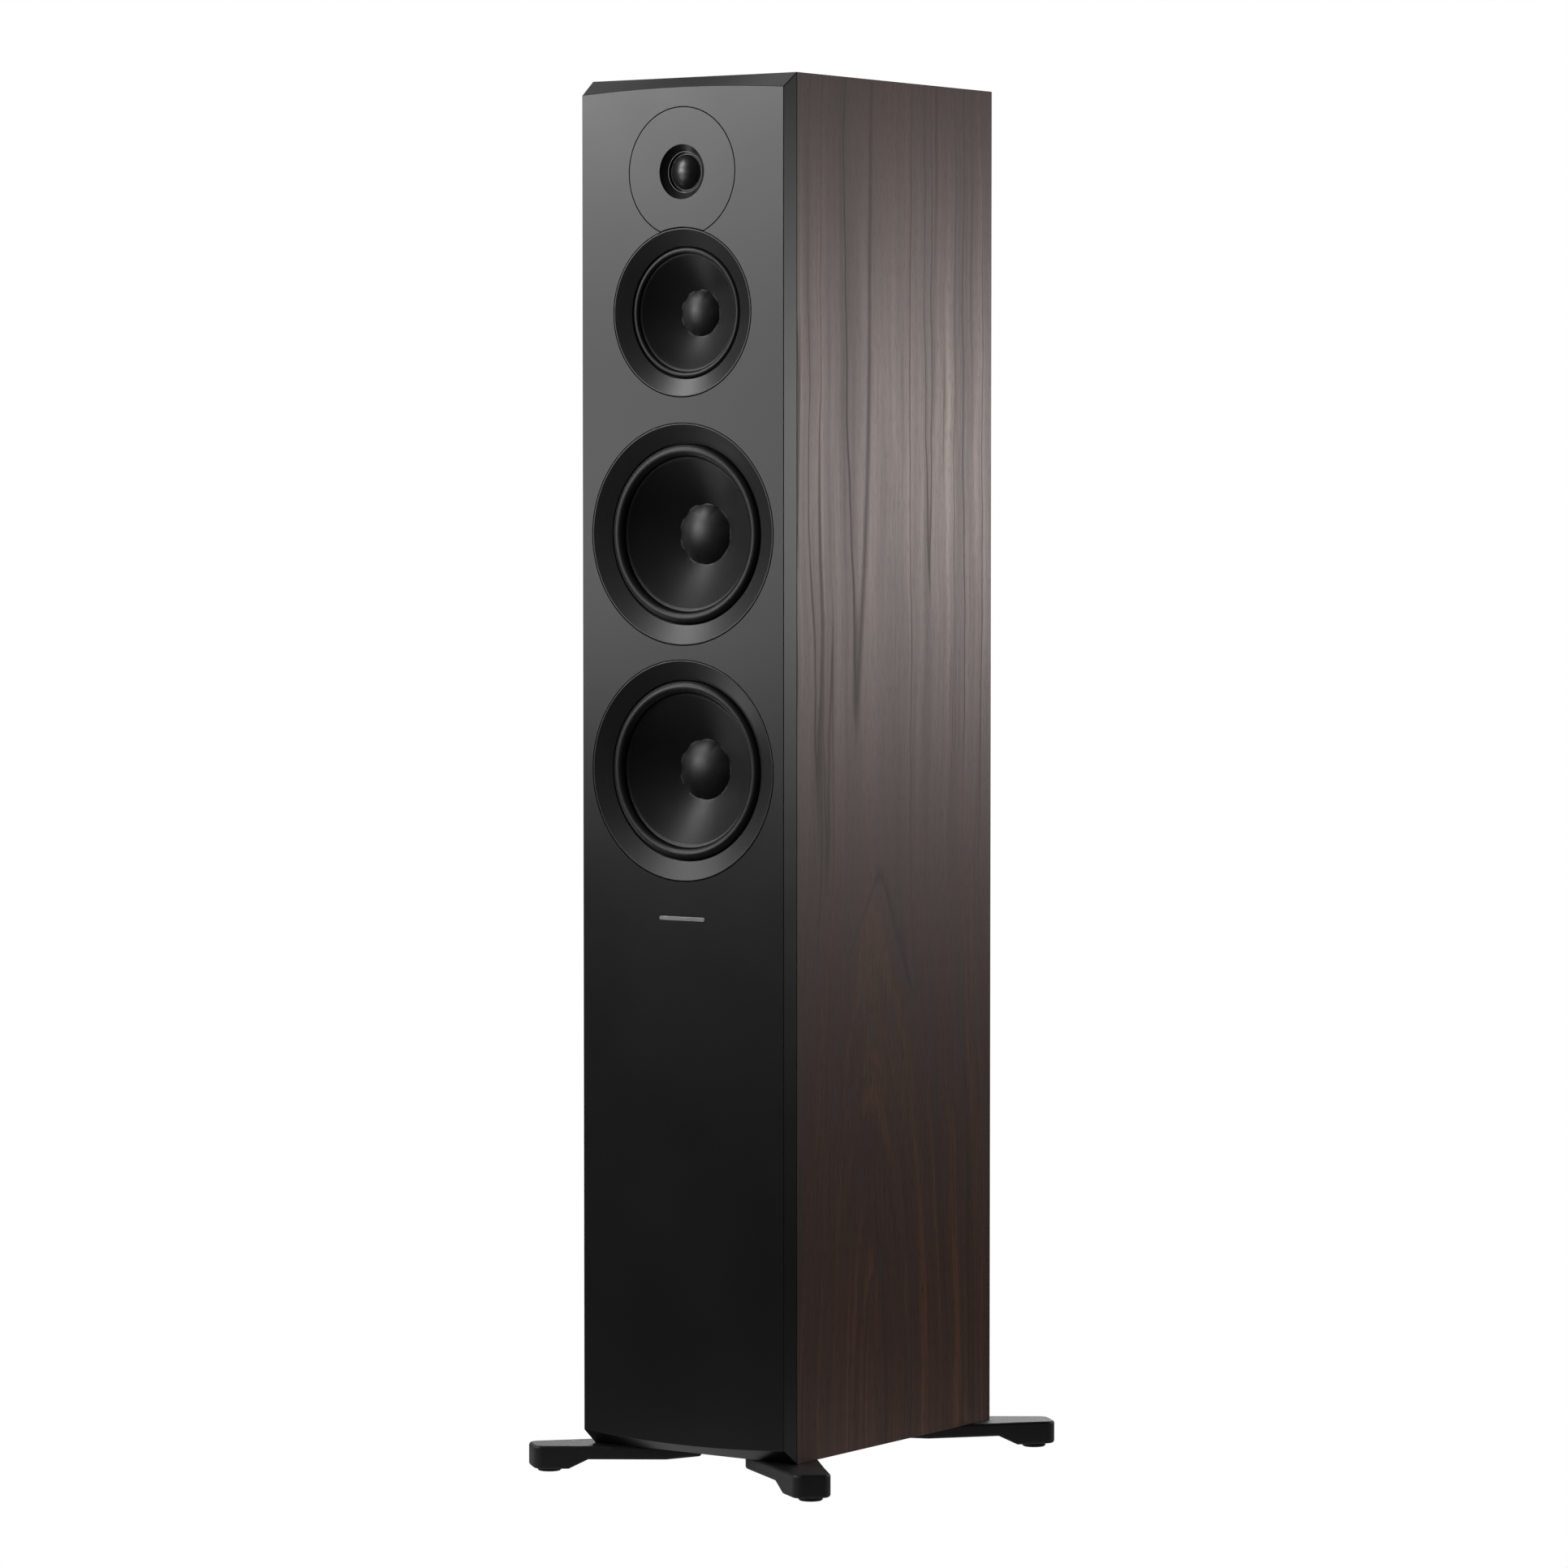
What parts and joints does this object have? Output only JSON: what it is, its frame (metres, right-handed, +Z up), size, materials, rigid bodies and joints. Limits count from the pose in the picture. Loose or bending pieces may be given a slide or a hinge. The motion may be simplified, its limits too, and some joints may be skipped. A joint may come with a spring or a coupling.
{
  "type": "floorstanding speaker",
  "caption": "Tall three-way floorstanding loudspeaker: bevelled black baffle, dome tweeter, cone drivers with conical trim rings, walnut sides, cast outrigger feet.",
  "frame": {"origin": "on the floor, in the middle between the four pads, under the middle of the bottom panel", "axes": "+Z up, +X to the right seen from the front, the baffle faces -Y"},
  "size_m": [0.3052, 0.3812, 1.1615],
  "materials": {
    "black_lacquer": "satin black lacquer on fibreboard",
    "walnut_veneer": "dark walnut veneer, open grain, satin",
    "black_panel": "matt black foil on fibreboard",
    "mdf": "bare fibreboard",
    "wool": "fluffy lining",
    "black_plastic": "fine matt texture",
    "plated_brass": "gold plated",
    "board": "circuit board",
    "copper": "enamelled copper winding",
    "component_plastic": "capacitor film and ceramic",
    "wire_jacket": "flexible jacket",
    "screw_steel": "blackened steel",
    "gasket_foam": "closed-cell foam",
    "ferrite": "ferrite",
    "motor_steel": "plated steel",
    "satin_black_metal": "satin black anodised",
    "dome_fabric": "coated soft dome",
    "coil_wire": "aluminium wire on a thin former",
    "cap_black": "gloss",
    "cap_red": "gloss",
    "surround_rubber": "matt rubber",
    "cone_polymer": "satin pressed polymer",
    "spider_cloth": "treated cloth",
    "cast_aluminium": "painted casting",
    "foot_black": "satin black powder coat",
    "pad_rubber": "matt"
  },
  "bodies": {
    "cabinet": {"front_baffle": "black_lacquer", "left_side_panel": "walnut_veneer", "right_side_panel": "walnut_veneer", "top_panel": "walnut_veneer", "bottom_panel": "black_panel", "back_panel": "black_panel", "cabinet_braces": "mdf", "midrange_chamber": "mdf", "damping_wool": "wool", "port_tubes": "black_plastic", "terminal_plate": "black_plastic", "binding_post_studs": "plated_brass", "crossover_board": "board", "crossover_coils": "copper", "crossover_components": "component_plastic", "internal_wiring": "wire_jacket", "fixing_screws": "screw_steel", "driver_gaskets": "gasket_foam", "driver_magnets": "ferrite", "driver_motor_steel": "motor_steel", "threaded_inserts": "plated_brass", "foot_bolts": "screw_steel", "tweeter_faceplate": "satin_black_metal", "tweeter_rear_chamber": "black_plastic", "upper_woofer_trim_ring": "satin_black_metal", "upper_woofer_surround": "surround_rubber", "upper_woofer_spider": "spider_cloth", "upper_woofer_basket": "cast_aluminium", "lower_woofer_trim_ring": "satin_black_metal", "lower_woofer_surround": "surround_rubber", "lower_woofer_spider": "spider_cloth", "lower_woofer_basket": "cast_aluminium", "midrange_trim_ring": "satin_black_metal", "midrange_surround": "surround_rubber", "midrange_spider": "spider_cloth", "midrange_basket": "cast_aluminium", "foot_front_left": "foot_black", "foot_front_right": "foot_black", "foot_rear_left": "foot_black", "foot_rear_right": "foot_black"},
    "upper_woofer_diaphragm": {"upper_woofer_cone": "cone_polymer", "upper_woofer_voice_coil": "coil_wire"},
    "lower_woofer_diaphragm": {"lower_woofer_cone": "cone_polymer", "lower_woofer_voice_coil": "coil_wire"},
    "midrange_diaphragm": {"midrange_cone": "cone_polymer", "midrange_voice_coil": "coil_wire"},
    "tweeter_diaphragm": {"tweeter_dome": "dome_fabric", "tweeter_voice_coil": "coil_wire"},
    "leveller_pad_front_left": {"leveller_pad_front_left": "pad_rubber"},
    "leveller_spindle_front_left": {"leveller_spindle_front_left": "screw_steel"},
    "leveller_pad_front_right": {"leveller_pad_front_right": "pad_rubber"},
    "leveller_spindle_front_right": {"leveller_spindle_front_right": "screw_steel"},
    "leveller_pad_rear_left": {"leveller_pad_rear_left": "pad_rubber"},
    "leveller_spindle_rear_left": {"leveller_spindle_rear_left": "screw_steel"},
    "leveller_pad_rear_right": {"leveller_pad_rear_right": "pad_rubber"},
    "leveller_spindle_rear_right": {"leveller_spindle_rear_right": "screw_steel"},
    "post_washer_negative": {"post_washer_negative": "plated_brass"},
    "post_cap_negative": {"post_cap_negative": "cap_black"},
    "post_washer_positive": {"post_washer_positive": "plated_brass"},
    "post_cap_positive": {"post_cap_positive": "cap_red"}
  },
  "joints": [
    {"name": "upper_woofer_stroke", "type": "slide", "parent": "cabinet", "child": "upper_woofer_diaphragm", "axis": [0, -1, 0], "range_m": [-0.006, 0.006], "stiffness_N_per_m": 1200, "deforming": ["upper_woofer_surround", "upper_woofer_spider"]},
    {"name": "lower_woofer_stroke", "type": "slide", "parent": "cabinet", "child": "lower_woofer_diaphragm", "axis": [0, -1, 0], "range_m": [-0.006, 0.006], "stiffness_N_per_m": 1200, "deforming": ["lower_woofer_surround", "lower_woofer_spider"]},
    {"name": "midrange_stroke", "type": "slide", "parent": "cabinet", "child": "midrange_diaphragm", "axis": [0, -1, 0], "range_m": [-0.003, 0.003], "stiffness_N_per_m": 1000, "deforming": ["midrange_surround", "midrange_spider"]},
    {"name": "tweeter_stroke", "type": "slide", "parent": "cabinet", "child": "tweeter_diaphragm", "axis": [0, -1, 0], "range_m": [-0.0004, 0.0004], "stiffness_N_per_m": 60},
    {"name": "leveller_height_front_left", "type": "slide", "parent": "cabinet", "child": "leveller_pad_front_left", "axis": [0, 0, -1], "range_m": [0, 0.008]},
    {"name": "leveller_turn_front_left", "type": "hinge", "parent": "leveller_pad_front_left", "child": "leveller_spindle_front_left", "pos_m": [-0.133, -0.1701, 0.01], "axis": [0, 0, -1], "range_deg": [0, 2305]},
    {"name": "leveller_height_front_right", "type": "slide", "parent": "cabinet", "child": "leveller_pad_front_right", "axis": [0, 0, -1], "range_m": [0, 0.008]},
    {"name": "leveller_turn_front_right", "type": "hinge", "parent": "leveller_pad_front_right", "child": "leveller_spindle_front_right", "pos_m": [0.133, -0.1701, 0.01], "axis": [0, 0, -1], "range_deg": [0, 2305]},
    {"name": "leveller_height_rear_left", "type": "slide", "parent": "cabinet", "child": "leveller_pad_rear_left", "axis": [0, 0, -1], "range_m": [0, 0.008]},
    {"name": "leveller_turn_rear_left", "type": "hinge", "parent": "leveller_pad_rear_left", "child": "leveller_spindle_rear_left", "pos_m": [-0.133, 0.1701, 0.01], "axis": [0, 0, -1], "range_deg": [0, 2305]},
    {"name": "leveller_height_rear_right", "type": "slide", "parent": "cabinet", "child": "leveller_pad_rear_right", "axis": [0, 0, -1], "range_m": [0, 0.008]},
    {"name": "leveller_turn_rear_right", "type": "hinge", "parent": "leveller_pad_rear_right", "child": "leveller_spindle_rear_right", "pos_m": [0.133, 0.1701, 0.01], "axis": [0, 0, -1], "range_deg": [0, 2305]},
    {"name": "clamp_opening_negative", "type": "slide", "parent": "cabinet", "child": "post_washer_negative", "axis": [0, 1, 0], "range_m": [0, 0.006]},
    {"name": "cap_turn_negative", "type": "hinge", "parent": "post_washer_negative", "child": "post_cap_negative", "pos_m": [-0.02, 0.138, 0.19], "axis": [0, 1, 0], "range_deg": [0, 2161]},
    {"name": "clamp_opening_positive", "type": "slide", "parent": "cabinet", "child": "post_washer_positive", "axis": [0, 1, 0], "range_m": [0, 0.006]},
    {"name": "cap_turn_positive", "type": "hinge", "parent": "post_washer_positive", "child": "post_cap_positive", "pos_m": [0.02, 0.138, 0.19], "axis": [0, 1, 0], "range_deg": [0, 2161]}
  ],
  "couplings": [
    {"joint": "leveller_turn_front_left", "follows": "leveller_height_front_left", "rad_per_m": 5026.5},
    {"joint": "leveller_turn_front_right", "follows": "leveller_height_front_right", "rad_per_m": 5026.5},
    {"joint": "leveller_turn_rear_left", "follows": "leveller_height_rear_left", "rad_per_m": 5026.5},
    {"joint": "leveller_turn_rear_right", "follows": "leveller_height_rear_right", "rad_per_m": 5026.5},
    {"joint": "cap_turn_negative", "follows": "clamp_opening_negative", "rad_per_m": 6283.2},
    {"joint": "cap_turn_positive", "follows": "clamp_opening_positive", "rad_per_m": 6283.2}
  ]
}
